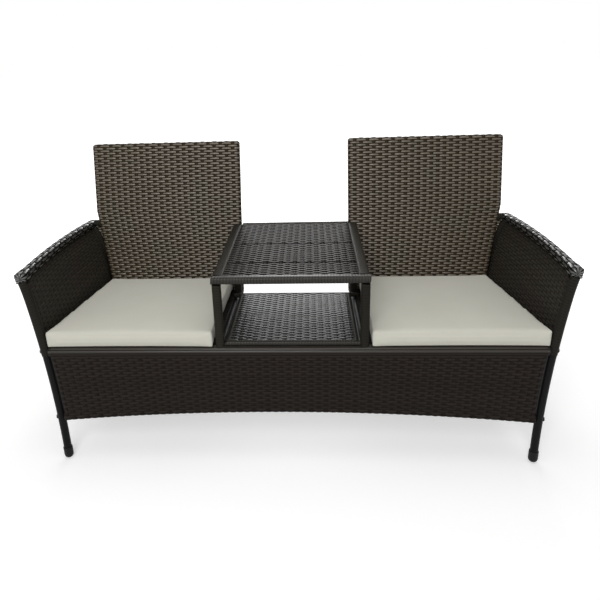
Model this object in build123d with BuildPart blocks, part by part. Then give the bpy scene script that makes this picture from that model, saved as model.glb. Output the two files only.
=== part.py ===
from build123d import *
import os
from math import cos, radians, sqrt, tan

os.makedirs("parts", exist_ok=True)

# Overall sizes, mm. Left and right are as seen from the front, +Y points to the rear.
depth = 590.0
front = -depth / 2
rear = depth / 2

# Tubes and clearances
tube_r = 11.0
light_tube_r = 8.0
stile_r = 10.0
tube_wall = 1.2
weave_t = 8.0
seat_weave_t = 6.0
fit_gap = 0.3
side_gap = 2.0

# Feet
foot_r = 13.0
foot_h = 28.0
foot_floor = 8.0
foot_round = 11.0
foot_lip = 1.5

# Arm frames: front leg, arm rail, rear leg
leg_x = 665.0
leg_y = front + 18.0
leg_flare_z = 60.0
arm_z = 568.0
arm_weave_r = 15.0
arm_end_wrap = 7.0
arm_end_round = 8.0
arm_tip = 1.0
arm_flare = 39.0
arm_bulge = 2.0
arm_mid_set = 55.0
arm_rise = 6.0
arm_taper = 16.0
leg_taper = 43.0
rear_flare_z = 240.0
rear_lean = 8.4
side_low_rise = 4.0
panel_bow = 1.0

# Seat, tilted down to the rear, and the arched apron below it
seat_height = 366.0
seat_tilt = 2.5
pan_rail_set = 28.0
apron_end_z = 131.0
apron_arch = 33.0
apron_t = 6.0

# Backs, reclined
back_top_set = 32.0
back_top_z = 816.0
recline = 12.0
back_weave_r = 13.0
back_inner_set = 15.0
back_knee_rise = 42.0
back_knee_r = 120.0
back_side_gap = 5.0
back_corner_r = 12.0
back_edge_round = 8.0
back_bottom_drop = 26.0
rear_rail_drop = 52.0

# Tea table
table_half = 204.0
table_top_z = 565.0
table_front_y = front + 10.0
post_w = 24.0
rail_h = 20.0
rail_d = 24.0
side_border = 30.0
box_corner = 4.0
table_weave_drop = 1.0
support_w = 14.0
support_h = 5.0
table_tongue = 21.0

# Shelf under the table
shelf_r = 7.5
shelf_front_y = front + 20.0
shelf_rear_set = 69.0
shelf_side_set = 9.0
shelf_rest = 8.0

# Cushions
cushion_t = 46.0
cushion_crown = 8.0
cushion_front_y = front + 5.0
cushion_rear_gap = 9.0
cushion_side_gap = 5.0
cushion_draw = 4.0
cushion_corner_r = 12.0
cover_t = 2.0
# share of the side height and inset of the outline there, then the same over the crown
cushion_sides = ((0.0, 5.0), (0.12, 1.0), (0.5, 0.0), (0.88, 1.0), (1.0, 6.0))
cushion_crowns = ((0.7, 50.0), (1.0, 125.0))

# Hardware
bolt_r = 3.0
bolt_head_r = 5.0
bolt_head_h = 2.4
bolt_reach = 24.0
hole_gap = 0.2
washer_r = 7.0
washer_t = 1.0
plug_len = 22.0
plug_gap = 0.9


# Derived places
arm_front_x = leg_x + arm_flare
arm_mid_x = arm_front_x + arm_bulge
arm_rear_x = arm_front_x - arm_taper
rear_leg_x = leg_x - leg_taper
side_low_z = apron_end_z + side_low_rise
back_top_y = rear - back_top_set
back_inner_x = table_half - back_inner_set
back_knee_z = arm_z + back_knee_rise
back_bottom_z = seat_height - back_bottom_drop
rear_rail_z = seat_height - rear_rail_drop
rear_foot_y = rear - foot_r / cos(radians(rear_lean))
front_rail_z = seat_height - arm_weave_r
leg_flare_r = ((arm_z - leg_flare_z) ** 2 + (arm_front_x - leg_x) ** 2) / (2 * (arm_front_x - leg_x))


def seat_z(y):
    # height of the tilted seat surface
    return seat_height - tan(radians(seat_tilt)) * (y - leg_y)


def rear_leg_y(z):
    return rear_foot_y - z * tan(radians(rear_lean))


def front_leg_x(z):
    rise = max(0.0, z - leg_flare_z)
    return leg_x + leg_flare_r - sqrt(leg_flare_r**2 - rise**2)


def rear_leg_at(z):
    share = max(0.0, z - rear_flare_z) / (arm_z - rear_flare_z)
    return rear_leg_x + (arm_rear_x - rear_leg_x) * share**2


def side_x(y, z):
    # middle of the woven side panel
    share = (y - leg_y) / (rear_leg_y(z) - leg_y)
    return front_leg_x(z) + (rear_leg_at(z) - front_leg_x(z)) * share


def back_y(z):
    return back_top_y - (back_top_z - z) * tan(radians(recline))


def back_h(z):
    # distance along the reclined back, from its top rail
    return (z - back_top_z) / cos(radians(recline))


back_facing = (0, -1, tan(radians(recline)))
seat_facing = (0, tan(radians(seat_tilt)), 1)
back_plane = Plane(origin=(0, back_top_y, back_top_z), x_dir=(1, 0, 0), z_dir=back_facing)
seat_plane = Plane(origin=(0, leg_y, seat_height), x_dir=(1, 0, 0), z_dir=seat_facing)

back_outer_x = arm_rear_x - arm_weave_r - side_gap - back_weave_r
stile_seat_x = side_x(back_y(seat_height), seat_height) - weave_t / 2 - back_side_gap - back_weave_r
stile_slope = (back_outer_x - stile_seat_x) / (back_knee_z - seat_height)
rear_rail_y = back_y(rear_rail_z)
pan_rail_y = back_y(seat_height) - pan_rail_set
shelf_rear_y = pan_rail_y - shelf_rear_set
shelf_side_x = table_half - post_w - shelf_side_set
cross_x = table_half - post_w / 2
table_mid_z = table_top_z - rail_h / 2
table_under_z = table_top_z - rail_h
table_rear_y = back_y(table_under_z) - back_weave_r / cos(radians(recline)) - side_gap
rear_post_y = back_y(seat_z(pan_rail_y)) - back_weave_r / cos(radians(recline)) - side_gap - post_w / 2


def stile_x(z):
    return back_outer_x - stile_slope * max(0.0, back_knee_z - z)


def round_bar(line, radius, bore=0.0):
    with BuildSketch(Plane(origin=line @ 0, z_dir=line % 0)) as section:
        Circle(radius)
        if bore:
            Circle(bore, mode=Mode.SUBTRACT)
    sweep(section.sketch, path=line)


def tube(line, radius=tube_r):
    round_bar(line, radius, radius - tube_wall)


def envelope(line, radius):
    with BuildPart() as solid:
        round_bar(line, radius)
    return solid.part


def box_tube(middle, x_dir, z_dir, width, height, length):
    with BuildSketch(Plane(origin=middle, x_dir=x_dir, z_dir=z_dir)) as section:
        RectangleRounded(width, height, box_corner)
        RectangleRounded(
            width - 2 * tube_wall, height - 2 * tube_wall, box_corner - tube_wall, mode=Mode.SUBTRACT
        )
    extrude(section.sketch, amount=length / 2, both=True)


def drill(point, direction, radius, length):
    with Locations(Plane(origin=point, z_dir=direction)):
        Cylinder(radius, length, mode=Mode.SUBTRACT)


def mirrored(part):
    with BuildPart() as twin:
        mirror(part, about=Plane.YZ)
    return twin


def both_sides(part):
    return [part, mirrored(part).part]


def save(piece, name):
    piece.part.label = name
    export_step(piece.part, f"parts/{name}.step")


def save_pair(piece, name):
    save(piece, f"right_{name}")
    save(mirrored(piece.part), f"left_{name}")


# Centre lines of the right arm frame
lean_up = (0, -tan(radians(rear_lean)), 1)
with BuildLine() as front_leg_line:
    Line((leg_x, leg_y, foot_floor), (leg_x, leg_y, leg_flare_z))
    TangentArc((leg_x, leg_y, leg_flare_z), (arm_front_x, leg_y, arm_z), tangent=(0, 0, 1))
with BuildLine() as rear_leg_line:
    Line(
        (rear_leg_x, rear_leg_y(foot_floor), foot_floor),
        (rear_leg_x, rear_leg_y(rear_flare_z), rear_flare_z),
    )
    TangentArc(
        (rear_leg_x, rear_leg_y(rear_flare_z), rear_flare_z),
        (arm_rear_x, rear_leg_y(arm_z), arm_z),
        tangent=lean_up,
    )
arm_rear_y = rear_leg_y(arm_z) + tube_r + arm_end_wrap
arm_mid_y = (front + arm_tip + arm_rear_y) / 2 - arm_mid_set
with BuildLine() as arm_line:
    ThreePointArc(
        (arm_front_x, front + arm_tip, arm_z),
        (arm_mid_x, arm_mid_y, arm_z + arm_rise),
        (arm_rear_x, arm_rear_y, arm_z),
    )
arm_edge = arm_line.line.edge()
wrap_share = arm_end_wrap / arm_edge.length
arm_rail_edge = arm_edge.trim(wrap_share, 1 - wrap_share)
side_rear_z = seat_z(rear_leg_y(seat_height)) - arm_weave_r
with BuildLine() as side_rail_line:
    Line(
        (front_leg_x(front_rail_z), leg_y, front_rail_z),
        (rear_leg_at(side_rear_z), rear_leg_y(side_rear_z), side_rear_z),
    )
with BuildLine() as lower_side_line:
    Line((front_leg_x(side_low_z), leg_y, side_low_z), (rear_leg_x, rear_leg_y(side_low_z), side_low_z))

# Centre lines of the seat frame
front_rail_half = front_leg_x(front_rail_z)
with BuildLine() as front_rail_line:
    Line((-front_rail_half, leg_y, front_rail_z), (front_rail_half, leg_y, front_rail_z))
apron_half = front_leg_x(apron_end_z) - tube_r - fit_gap
apron_arc_r = (leg_x**2 + apron_arch**2) / (2 * apron_arch)
apron_top_z = apron_end_z + apron_arch + light_tube_r
apron_rail_end_z = apron_top_z - apron_arc_r + sqrt(apron_arc_r**2 - apron_half**2)
with BuildLine() as apron_line:
    ThreePointArc(
        (-apron_half, leg_y, apron_rail_end_z),
        (0, leg_y, apron_top_z),
        (apron_half, leg_y, apron_rail_end_z),
    )
rear_rail_half = side_x(rear_rail_y + tube_r, rear_rail_z) - weave_t / 2 - fit_gap
with BuildLine() as rear_rail_line:
    Line((-rear_rail_half, rear_rail_y, rear_rail_z), (rear_rail_half, rear_rail_y, rear_rail_z))
with BuildLine() as rear_lower_line:
    Line(
        (-rear_leg_x, rear_leg_y(side_low_z), side_low_z), (rear_leg_x, rear_leg_y(side_low_z), side_low_z)
    )
with BuildLine() as cross_line:
    Line(
        (cross_x, leg_y, seat_z(leg_y) - tube_r),
        (cross_x, rear_rail_y, seat_z(rear_rail_y) - tube_r),
    )
pan_z = seat_z(pan_rail_y) - seat_weave_t - light_tube_r
with BuildLine() as pan_line:
    Line((cross_x, pan_rail_y, pan_z), (side_x(pan_rail_y, pan_z), pan_rail_y, pan_z))

# Centre lines of the right back frame
with BuildLine(back_plane) as outer_stile_line:
    FilletPolyline(
        (back_outer_x, 0),
        (back_outer_x, back_h(back_knee_z)),
        (stile_x(rear_rail_z), back_h(rear_rail_z)),
        radius=back_knee_r,
    )
with BuildLine(back_plane) as inner_stile_line:
    Line((back_inner_x, 0), (back_inner_x, back_h(rear_rail_z)))
with BuildLine(back_plane) as back_top_line:
    Line((back_inner_x - stile_r, 0), (back_outer_x + stile_r, 0))
with BuildLine(back_plane) as back_bottom_line:
    Line((back_inner_x, back_h(back_bottom_z)), (stile_x(back_bottom_z), back_h(back_bottom_z)))

# Solid envelopes of the tubes, used to cope the ends of what meets them
front_leg_body = envelope(front_leg_line.line, tube_r)
rear_leg_body = envelope(rear_leg_line.line, tube_r)
side_rail_body = envelope(side_rail_line.line, tube_r)
arm_rail_body = envelope(arm_rail_edge, tube_r)
front_rail_body = envelope(front_rail_line.line, tube_r)
rear_rail_body = envelope(rear_rail_line.line, tube_r)
cross_body = envelope(cross_line.line, tube_r)
outer_stile_body = envelope(outer_stile_line.line, stile_r)
inner_stile_body = envelope(inner_stile_line.line, stile_r)
front_leg_room = envelope(front_leg_line.line, tube_r + fit_gap)
rear_leg_room = envelope(rear_leg_line.line, tube_r + fit_gap)
side_rail_room = envelope(side_rail_line.line, tube_r + fit_gap)
lower_side_room = envelope(lower_side_line.line, light_tube_r + fit_gap)
arm_rail_room = envelope(arm_rail_edge, tube_r + fit_gap)
front_rail_room = envelope(front_rail_line.line, tube_r + fit_gap)
front_wrap_room = envelope(front_rail_line.line, arm_weave_r + fit_gap)
apron_rail_room = envelope(apron_line.line, light_tube_r + fit_gap)
cross_room = envelope(cross_line.line, tube_r + fit_gap)
pan_room = envelope(pan_line.line, light_tube_r + fit_gap)
outer_stile_room = envelope(outer_stile_line.line, stile_r + fit_gap)
inner_stile_room = envelope(inner_stile_line.line, stile_r + fit_gap)
back_top_room = envelope(back_top_line.line, stile_r + fit_gap)
back_bottom_room = envelope(back_bottom_line.line, light_tube_r + fit_gap)

# Bolted joints along X: centre of the leg or side rail, radius of the tube behind it
bolt_joints = [
    (Vector(front_leg_x(front_rail_z), leg_y, front_rail_z), tube_r, front_rail_line.line),
    (Vector(front_leg_x(apron_rail_end_z), leg_y, apron_rail_end_z), light_tube_r, apron_line.line),
    (Vector(rear_leg_x, rear_leg_y(side_low_z), side_low_z), light_tube_r, rear_lower_line.line),
]

# Arm frames
with BuildPart() as front_leg:
    tube(front_leg_line.line)
    add(arm_rail_body, mode=Mode.SUBTRACT)
    for joint, joined_r, rail_line in bolt_joints[:2]:
        drill(joint, (1, 0, 0), bolt_r + hole_gap, 4 * tube_r)
save_pair(front_leg, "front_leg")

with BuildPart() as rear_leg:
    tube(rear_leg_line.line)
    add(arm_rail_body, mode=Mode.SUBTRACT)
    drill(bolt_joints[2][0], (1, 0, 0), bolt_r + hole_gap, 4 * tube_r)
save_pair(rear_leg, "rear_leg")

with BuildPart() as arm_rail:
    tube(arm_rail_edge)
save_pair(arm_rail, "arm_rail")

with BuildPart() as side_rail:
    tube(side_rail_line.line)
    add([front_leg_body, rear_leg_body, front_rail_body], mode=Mode.SUBTRACT)
    drill(bolt_joints[0][0], (1, 0, 0), washer_r + fit_gap, 4 * tube_r)
save_pair(side_rail, "side_rail")

with BuildPart() as lower_side_rail:
    tube(lower_side_line.line, light_tube_r)
    add([front_leg_body, rear_leg_body, apron_rail_room], mode=Mode.SUBTRACT)
    for joint, joined_r, rail_line in bolt_joints[1:]:
        drill(joint, (1, 0, 0), washer_r + fit_gap, 4 * tube_r)
save_pair(lower_side_rail, "lower_side_rail")

# Seat frame
with BuildPart() as seat_front_rail:
    tube(front_rail_line.line)
    add(both_sides(front_leg_body), mode=Mode.SUBTRACT)
save(seat_front_rail, "seat_front_rail")

with BuildPart() as apron_rail:
    tube(apron_line.line, light_tube_r)
save(apron_rail, "apron_rail")

with BuildPart() as seat_rear_rail:
    tube(rear_rail_line.line)
    add(both_sides(side_rail_body), mode=Mode.SUBTRACT)
save(seat_rear_rail, "seat_rear_rail")

with BuildPart() as rear_lower_rail:
    tube(rear_lower_line.line, light_tube_r)
    add(both_sides(rear_leg_body), mode=Mode.SUBTRACT)
save(rear_lower_rail, "rear_lower_rail")

with BuildPart() as cross_rail:
    tube(cross_line.line)
    add([front_rail_body, rear_rail_body, inner_stile_body], mode=Mode.SUBTRACT)
save_pair(cross_rail, "cross_rail")

with BuildPart() as pan_rail:
    tube(pan_line.line, light_tube_r)
    add([cross_body, side_rail_body], mode=Mode.SUBTRACT)
save_pair(pan_rail, "pan_rail")

# Back frames
with BuildPart() as outer_stile:
    tube(outer_stile_line.line, stile_r)
    add([back_top_room, rear_rail_body], mode=Mode.SUBTRACT)
save_pair(outer_stile, "back_outer_stile")

with BuildPart() as inner_stile:
    tube(inner_stile_line.line, stile_r)
    add([back_top_room, rear_rail_body], mode=Mode.SUBTRACT)
save_pair(inner_stile, "back_inner_stile")

with BuildPart() as back_top_rail:
    tube(back_top_line.line, stile_r)
save_pair(back_top_rail, "back_top_rail")

with BuildPart() as back_bottom_rail:
    tube(back_bottom_line.line, light_tube_r)
    add([outer_stile_body, inner_stile_body, cross_body], mode=Mode.SUBTRACT)
save_pair(back_bottom_rail, "back_bottom_rail")


def back_outline(inset):
    edge = back_weave_r - inset
    low_z = back_bottom_z
    return [
        (back_inner_x - edge, back_h(low_z) - edge),
        (back_inner_x - edge, edge),
        (back_outer_x + edge, edge),
        (back_outer_x + edge, back_h(back_knee_z)),
        (stile_x(low_z) + edge, back_h(low_z) - edge),
    ]


# Back weave: wraps the frame, flat in front, hollow behind
facing = Axis((0, 0, 0), back_plane.z_dir)
with BuildPart() as back_weave:
    with BuildSketch(back_plane):
        with BuildLine():
            Polyline(back_outline(0), close=True)
        corners = make_face().vertices()
        fillet(corners, back_corner_r)
    extrude(amount=back_weave_r, both=True)
    fillet(back_weave.faces().sort_by(facing)[-1].edges(), back_edge_round)
    fillet(back_weave.faces().sort_by(facing)[0].edges(), back_edge_round)
    with BuildSketch(back_plane.offset(back_weave_r - weave_t)):
        with BuildLine():
            Polyline(back_outline(2 * back_weave_r), close=True)
        make_face()
    extrude(amount=-2 * back_weave_r, mode=Mode.SUBTRACT)
    add([outer_stile_room, inner_stile_room, back_top_room, back_bottom_room], mode=Mode.SUBTRACT)
    add([cross_room, side_rail_room], mode=Mode.SUBTRACT)
save_pair(back_weave, "back_weave")


def side_section(z, bow):
    # plan outline of the woven side panel at one height
    half = weave_t / 2
    rear_y = rear_leg_y(z)
    mid_x = (front_leg_x(z) + rear_leg_at(z)) / 2 + bow
    mid_y = (leg_y + rear_y) / 2
    with BuildSketch(Plane.XY.offset(z)) as section:
        with BuildLine():
            ThreePointArc(
                (front_leg_x(z) + half, leg_y), (mid_x + half, mid_y), (rear_leg_at(z) + half, rear_y)
            )
            Line((rear_leg_at(z) + half, rear_y), (rear_leg_at(z) - half, rear_y))
            ThreePointArc(
                (rear_leg_at(z) - half, rear_y), (mid_x - half, mid_y), (front_leg_x(z) - half, leg_y)
            )
            Line((front_leg_x(z) - half, leg_y), (front_leg_x(z) + half, leg_y))
        make_face()
    return section.sketch


# Arm weave: side panel from the lower rail up, with the padded wrap on the arm rail
arm_bow = (arm_edge @ 0.5).X - (front_leg_x(arm_z) + rear_leg_at(arm_z)) / 2
bow_levels = 5
side_sections = [side_section(side_low_z, panel_bow)]
for level in range(bow_levels):
    share = level / (bow_levels - 1)
    level_z = rear_flare_z + (arm_z - rear_flare_z) * share
    side_sections.append(side_section(level_z, panel_bow + (arm_bow - panel_bow) * share**2))
with BuildPart() as arm_weave:
    round_bar(arm_edge, arm_weave_r)
    fillet(arm_weave.edges().group_by(Axis.Y)[-1], arm_end_round)
    loft(side_sections, ruled=True)
    for room in (front_leg_room, rear_leg_room, arm_rail_room):
        add(room, mode=Mode.SUBTRACT)
    for room in (side_rail_room, lower_side_room, front_wrap_room):
        add(room, mode=Mode.SUBTRACT)
save_pair(arm_weave, "arm_weave")

# Apron weave: flat front panel with the wrap over the front rail
apron_face_y = leg_y - arm_weave_r
with BuildPart() as apron_weave:
    round_bar(front_rail_line.line, arm_weave_r)
    with BuildSketch(Plane.XZ.offset(-apron_face_y)):
        with BuildLine():
            arch = ThreePointArc(
                (-leg_x, apron_end_z), (0, apron_end_z + apron_arch), (leg_x, apron_end_z)
            )
            Polyline(arch @ 1, (front_rail_half, front_rail_z), (-front_rail_half, front_rail_z), arch @ 0)
        make_face()
    extrude(amount=-apron_t)
    add([front_rail_room, apron_rail_room], mode=Mode.SUBTRACT)
    add(both_sides(front_leg_room) + both_sides(cross_room) + both_sides(side_rail_room), mode=Mode.SUBTRACT)
save(apron_weave, "apron_weave")

# Seat weave: tilted deck of each seat
deck_inner = cross_x
deck_rear = pan_rail_y + light_tube_r
with BuildPart() as seat_weave:
    with BuildSketch(seat_plane):
        with BuildLine():
            outer_edge = weave_t / 2 + side_gap
            deck_depth = (deck_rear - leg_y) / cos(radians(seat_tilt))
            Polyline(
                (deck_inner, 0),
                (side_x(leg_y, seat_height) - outer_edge, 0),
                (side_x(deck_rear, seat_z(deck_rear)) - outer_edge, deck_depth),
                (deck_inner, deck_depth),
                close=True,
            )
        make_face()
    extrude(amount=-seat_weave_t)
    add([front_wrap_room, cross_room, side_rail_room, front_leg_room, pan_room], mode=Mode.SUBTRACT)
    with Locations((cross_x, rear_post_y, seat_height)):
        Box(post_w + 2 * fit_gap, post_w + 2 * fit_gap, seat_height, mode=Mode.SUBTRACT)
save_pair(seat_weave, "seat_weave")

# Tea table frame
with BuildPart() as table_front_rail:
    middle = (0, table_front_y + rail_d / 2, table_mid_z)
    box_tube(middle, (0, 1, 0), (1, 0, 0), rail_d, rail_h, 2 * table_half)
save(table_front_rail, "table_front_rail")

# The rear rail reaches back between the two backs
table_field_half = table_half - side_border
with BuildPart() as table_rear_rail:
    middle = (0, table_rear_y + table_tongue - rail_d / 2, table_mid_z)
    box_tube(middle, (0, 1, 0), (1, 0, 0), rail_d, rail_h, 2 * table_field_half)
save(table_rear_rail, "table_rear_rail")

table_field_front = table_front_y + rail_d
table_field_rear = table_rear_y + table_tongue - rail_d
table_field = table_field_rear - table_field_front
table_field_y = (table_field_rear + table_field_front) / 2
side_len = table_rear_y - table_field_front
with BuildPart() as table_side_rail:
    middle = (table_half - side_border / 2, table_field_front + side_len / 2, table_mid_z)
    box_tube(middle, (1, 0, 0), (0, -1, 0), side_border, rail_h, side_len)
save_pair(table_side_rail, "table_side_rail")

front_post_low = seat_height
front_post_len = table_under_z - front_post_low
with BuildPart() as table_front_post:
    middle = (cross_x, table_front_y + rail_d / 2, front_post_low + front_post_len / 2)
    box_tube(middle, (1, 0, 0), (0, 0, 1), post_w, post_w, front_post_len)
    add(front_wrap_room, mode=Mode.SUBTRACT)
save_pair(table_front_post, "table_front_post")

rear_post_low = seat_z(rear_post_y) - tube_r
rear_post_len = table_under_z - rear_post_low
with BuildPart() as table_rear_post:
    middle = (cross_x, rear_post_y, rear_post_low + rear_post_len / 2)
    box_tube(middle, (1, 0, 0), (0, 0, 1), post_w, post_w, rear_post_len)
    add([cross_body, pan_room], mode=Mode.SUBTRACT)
save_pair(table_rear_post, "table_rear_post")

table_weave_z = table_top_z - table_weave_drop
with BuildPart() as table_weave:
    with BuildSketch(Plane.XY.offset(table_weave_z)):
        with Locations((0, table_field_y)):
            Rectangle(2 * (table_field_half - fit_gap), table_field - 2 * fit_gap)
    extrude(amount=-seat_weave_t)
save(table_weave, "table_top_weave")

with BuildPart() as table_supports:
    support_z = table_weave_z - seat_weave_t - support_h / 2
    for share in (1 / 3, 2 / 3):
        with Locations((0, table_field_front + table_field * share, support_z)):
            Box(2 * table_field_half, support_w, support_h)
save(table_supports, "table_support_bars")

# Shelf, lying on the seat frame
shelf_z = shelf_r + fit_gap
shelf_half = table_half - post_w - side_gap
with BuildLine() as shelf_front_line:
    Line(
        (-shelf_half, shelf_front_y, seat_z(shelf_front_y) + shelf_z),
        (shelf_half, shelf_front_y, seat_z(shelf_front_y) + shelf_z),
    )
with BuildLine() as shelf_rear_line:
    rest_x = cross_x + shelf_rest
    Line(
        (-rest_x, shelf_rear_y, seat_z(shelf_rear_y) + shelf_z),
        (rest_x, shelf_rear_y, seat_z(shelf_rear_y) + shelf_z),
    )
with BuildLine() as shelf_side_line:
    Line(
        (shelf_side_x, shelf_front_y, seat_z(shelf_front_y) + shelf_z),
        (shelf_side_x, shelf_rear_y, seat_z(shelf_rear_y) + shelf_z),
    )
shelf_front_body = envelope(shelf_front_line.line, shelf_r)
shelf_rear_body = envelope(shelf_rear_line.line, shelf_r)
shelf_front_room = envelope(shelf_front_line.line, shelf_r + fit_gap)
shelf_rear_room = envelope(shelf_rear_line.line, shelf_r + fit_gap)
shelf_side_room = envelope(shelf_side_line.line, shelf_r + fit_gap)

with BuildPart() as shelf_front_rail:
    tube(shelf_front_line.line, shelf_r)
save(shelf_front_rail, "shelf_front_rail")

with BuildPart() as shelf_rear_rail:
    tube(shelf_rear_line.line, shelf_r)
save(shelf_rear_rail, "shelf_rear_rail")

with BuildPart() as shelf_side_rail:
    tube(shelf_side_line.line, shelf_r)
    add([shelf_front_body, shelf_rear_body], mode=Mode.SUBTRACT)
save_pair(shelf_side_rail, "shelf_side_rail")

shelf_len = (shelf_rear_y - shelf_front_y) / cos(radians(seat_tilt))
with BuildPart() as shelf_weave:
    with BuildSketch(seat_plane.offset(2 * shelf_r)):
        with Locations((0, (shelf_front_y - leg_y) / cos(radians(seat_tilt)) + shelf_len / 2)):
            Rectangle(2 * shelf_side_x, shelf_len)
    extrude(amount=-seat_weave_t)
    add([shelf_front_room, shelf_rear_room] + both_sides(shelf_side_room), mode=Mode.SUBTRACT)
save(shelf_weave, "shelf_weave")


# Foot caps along the legs, cut flat where they stand
with BuildPart() as foot_caps:
    for leg_line in (front_leg_line.line, rear_leg_line.line):
        with Locations(Plane(origin=leg_line @ 0, z_dir=leg_line % 0)):
            Cylinder(foot_r, 2 * foot_h)
            Cylinder(
                tube_r + fit_gap, foot_h, align=(Align.CENTER, Align.CENTER, Align.MIN), mode=Mode.SUBTRACT
            )
    split(bisect_by=Plane.XY, keep=Keep.TOP)
    fillet(foot_caps.faces().filter_by(Plane.XY).group_by(Axis.Z)[0].edges(), foot_round)
    upper = foot_caps.edges().filter_by(GeomType.CIRCLE).filter_by_position(Axis.Z, foot_h / 2, 2 * foot_h)
    fillet(upper.group_by(SortBy.RADIUS)[-1], foot_lip)
    mirror(foot_caps.part, about=Plane.YZ)
save(foot_caps, "foot_caps")


# Hardware at the bolted joints
with BuildPart() as bolts:
    for joint, joined_r, rail_line in bolt_joints:
        with Locations(Plane(origin=joint + Vector(tube_r + washer_t, 0, 0), z_dir=(1, 0, 0))):
            Cylinder(bolt_head_r, bolt_head_h, align=(Align.CENTER, Align.CENTER, Align.MIN))
            shank = washer_t + 2 * tube_r + bolt_reach
            Cylinder(bolt_r, shank, align=(Align.CENTER, Align.CENTER, Align.MAX))
    mirror(bolts.part, about=Plane.YZ)
save(bolts, "frame_bolts")

with BuildPart() as washers:
    for joint, joined_r, rail_line in bolt_joints:
        with Locations(Plane(origin=joint, z_dir=(1, 0, 0))):
            Cylinder(washer_r, tube_r + washer_t, align=(Align.CENTER, Align.CENTER, Align.MIN))
            Cylinder(bolt_r + hole_gap, 4 * tube_r, mode=Mode.SUBTRACT)
    add([front_leg_body, rear_leg_body], mode=Mode.SUBTRACT)
    mirror(washers.part, about=Plane.YZ)
save(washers, "saddle_washers")

with BuildPart() as plugs:
    for joint, joined_r, rail_line in bolt_joints:
        rail_edge = rail_line.edge()
        end_share = 1 - (tube_r + plug_len) / rail_edge.length
        round_bar(rail_edge.trim(end_share, 1), joined_r - tube_wall - plug_gap)
        drill(joint, (1, 0, 0), bolt_r + hole_gap, 2 * (2 * tube_r + bolt_reach))
    add([front_leg_body, rear_leg_body], mode=Mode.SUBTRACT)
    mirror(plugs.part, about=Plane.YZ)
save(plugs, "rail_plugs")


def cushion_outline(inset, level):
    # plan of the right cushion at one height: corners rounded, sides drawn in between them
    depth_front = cushion_front_y - leg_y + inset
    rear_y = back_y(seat_z(pan_rail_y) + cushion_t) - back_weave_r - cushion_rear_gap
    depth_rear = rear_y - leg_y - inset
    inner = table_half + cushion_side_gap + inset
    outer_front = side_x(cushion_front_y, seat_height) - weave_t / 2 - cushion_side_gap - inset
    outer_rear = side_x(rear_y, seat_z(rear_y)) - weave_t / 2 - cushion_side_gap - inset
    mid_y = (depth_front + depth_rear) / 2
    mid_x = (inner + outer_front) / 2
    with BuildSketch(seat_plane.offset(level)) as section:
        with BuildLine():
            ThreePointArc(
                (inner, depth_front), (mid_x, depth_front + cushion_draw), (outer_front, depth_front)
            )
            ThreePointArc(
                (outer_front, depth_front),
                ((outer_front + outer_rear) / 2 - cushion_draw, mid_y),
                (outer_rear, depth_rear),
            )
            ThreePointArc((outer_rear, depth_rear), (mid_x, depth_rear - cushion_draw), (inner, depth_rear))
            ThreePointArc((inner, depth_rear), (inner + cushion_draw, mid_y), (inner, depth_front))
        make_face()
        fillet(section.vertices(), cushion_corner_r)
    return section.sketch


def cushion_form(shrink):
    low = fit_gap + shrink
    high = cushion_t - shrink
    outlines = []
    for share, inset in cushion_sides:
        outlines.append(cushion_outline(inset + shrink, low + (high - low) * share))
    for share, inset in cushion_crowns:
        outlines.append(cushion_outline(inset + shrink, high + cushion_crown * share))
    loft(outlines, ruled=True)


with BuildPart() as cushion_room:
    cushion_form(cover_t)
with BuildPart() as cushion_cover:
    cushion_form(0)
    add(cushion_room.part, mode=Mode.SUBTRACT)
save_pair(cushion_cover, "cushion_cover")

with BuildPart() as cushion_foam:
    cushion_form(cover_t + fit_gap)
save_pair(cushion_foam, "cushion_foam")
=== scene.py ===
import math

import bpy
import numpy as np
from mathutils import Matrix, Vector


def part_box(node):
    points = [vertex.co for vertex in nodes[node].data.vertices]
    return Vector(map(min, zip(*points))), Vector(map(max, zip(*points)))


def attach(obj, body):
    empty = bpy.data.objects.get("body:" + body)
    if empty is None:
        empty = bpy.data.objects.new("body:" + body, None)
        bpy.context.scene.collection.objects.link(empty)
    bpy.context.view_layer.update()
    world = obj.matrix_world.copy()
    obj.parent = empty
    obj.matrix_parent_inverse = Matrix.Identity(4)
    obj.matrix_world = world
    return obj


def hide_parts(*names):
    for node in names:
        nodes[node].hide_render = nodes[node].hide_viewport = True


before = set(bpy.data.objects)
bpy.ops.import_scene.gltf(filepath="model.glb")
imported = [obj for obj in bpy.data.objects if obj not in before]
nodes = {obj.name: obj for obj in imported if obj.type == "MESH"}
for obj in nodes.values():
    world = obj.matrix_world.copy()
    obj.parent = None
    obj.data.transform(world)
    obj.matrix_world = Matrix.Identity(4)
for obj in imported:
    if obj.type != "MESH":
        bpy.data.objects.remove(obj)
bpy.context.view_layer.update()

scene = bpy.context.scene


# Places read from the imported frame, metres, for the right half
def boxOf(name):
    low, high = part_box(name)
    return np.array(low), np.array(high)


def middleOf(name):
    low, high = boxOf(name)
    return (low + high) / 2


railLow, railHigh = boxOf("seat_front_rail")
tubeRadius = (railHigh[1] - railLow[1]) / 2
legY, frontRailZ = middleOf("seat_front_rail")[1:]
legX = boxOf("right_front_leg")[0][0] + tubeRadius
rearLegX = boxOf("right_rear_leg")[0][0] + tubeRadius
armZ = boxOf("right_arm_rail")[0][2] + tubeRadius

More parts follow.
